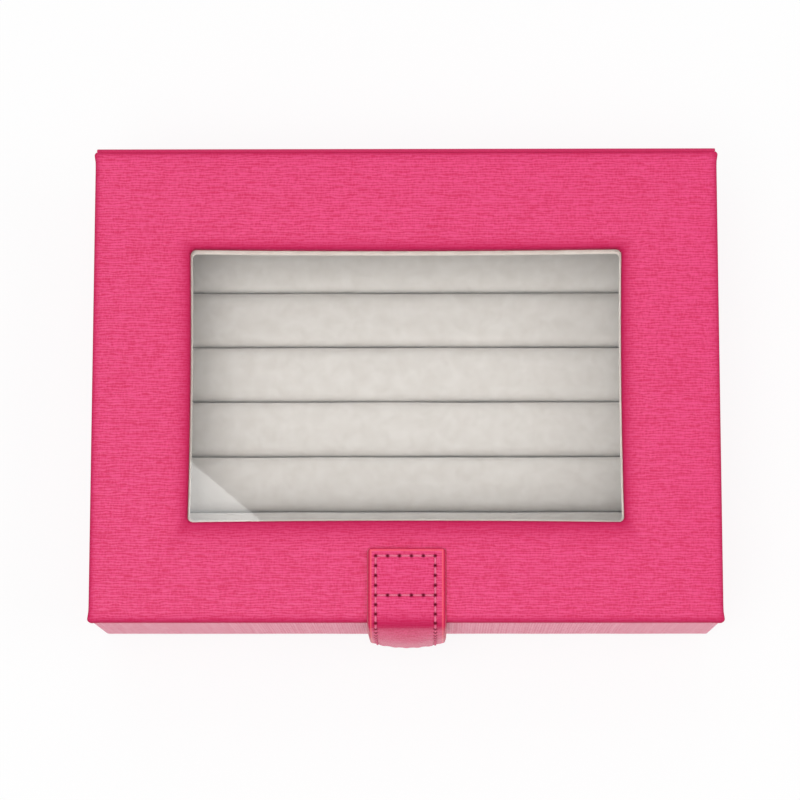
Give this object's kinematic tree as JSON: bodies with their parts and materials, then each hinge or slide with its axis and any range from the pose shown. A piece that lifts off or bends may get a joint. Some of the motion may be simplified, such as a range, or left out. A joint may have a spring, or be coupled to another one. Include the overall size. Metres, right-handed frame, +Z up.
{
  "type": "ring display box",
  "caption": "Flat lidded display box covered in grained leather, with a window in its hinged lid, padded rolls that hold finger rings, and a snap strap at the front.",
  "frame": {"origin": "centre of the closed box's footprint without the strap, on the underside of the felt", "axes": "+X to the right, +Y to the hinge at the back, +Z up out of the lid"},
  "size_m": [0.2, 0.1564, 0.052],
  "materials": {
    "leather_skin": "satin",
    "strap_leather": "satin",
    "board": "matte",
    "felt": "matte",
    "suede": "matte",
    "hinge_cloth": "matte",
    "foam": "matte",
    "pane": "gloss",
    "snap_steel": "satin",
    "magnet": "satin"
  },
  "bodies": {
    "base": {"base_bottom_board": "board", "base_front_wall": "board", "base_back_wall": "board", "base_left_wall": "board", "base_right_wall": "board", "base_skin": "leather_skin", "back_skin": "leather_skin", "underside_felt": "felt", "lining_front": "suede", "lining_back": "suede", "lining_left": "suede", "lining_right": "suede", "lining_floor": "suede", "hinge_cloth_base": "hinge_cloth", "ring_roll_1": "suede", "ring_roll_2": "suede", "ring_roll_3": "suede", "ring_roll_4": "suede", "ring_roll_5": "suede", "ring_roll_6": "suede", "ring_roll_7": "suede", "ring_roll_8": "suede", "roll_core_1": "foam", "roll_core_2": "foam", "roll_core_3": "foam", "roll_core_4": "foam", "roll_core_5": "foam", "roll_core_6": "foam", "roll_core_7": "foam", "roll_core_8": "foam", "keeper_disc": "snap_steel", "keeper_washer": "snap_steel"},
    "lid": {"lid_skin": "leather_skin", "lid_padding": "foam", "lid_board": "board", "window_pane": "pane", "pane_spacer": "board", "inner_frame": "suede", "hinge_cloth_lid": "hinge_cloth", "strap_face": "strap_leather", "strap_backing": "strap_leather"},
    "flap": {"flap_face": "strap_leather", "flap_backing": "strap_leather", "magnet_case": "snap_steel", "snap_magnet": "magnet"}
  },
  "joints": [
    {"name": "lid_hinge", "type": "hinge", "parent": "base", "child": "lid", "pos_m": [0, 0.07585, 0.04535], "axis": [-1, 0, 0], "range_deg": [0, 105]},
    {"name": "strap_fold", "type": "hinge", "parent": "lid", "child": "flap", "pos_m": [0.0004, -0.07805, 0.04845], "axis": [-1, 0, 0], "range_deg": [0, 110]}
  ]
}
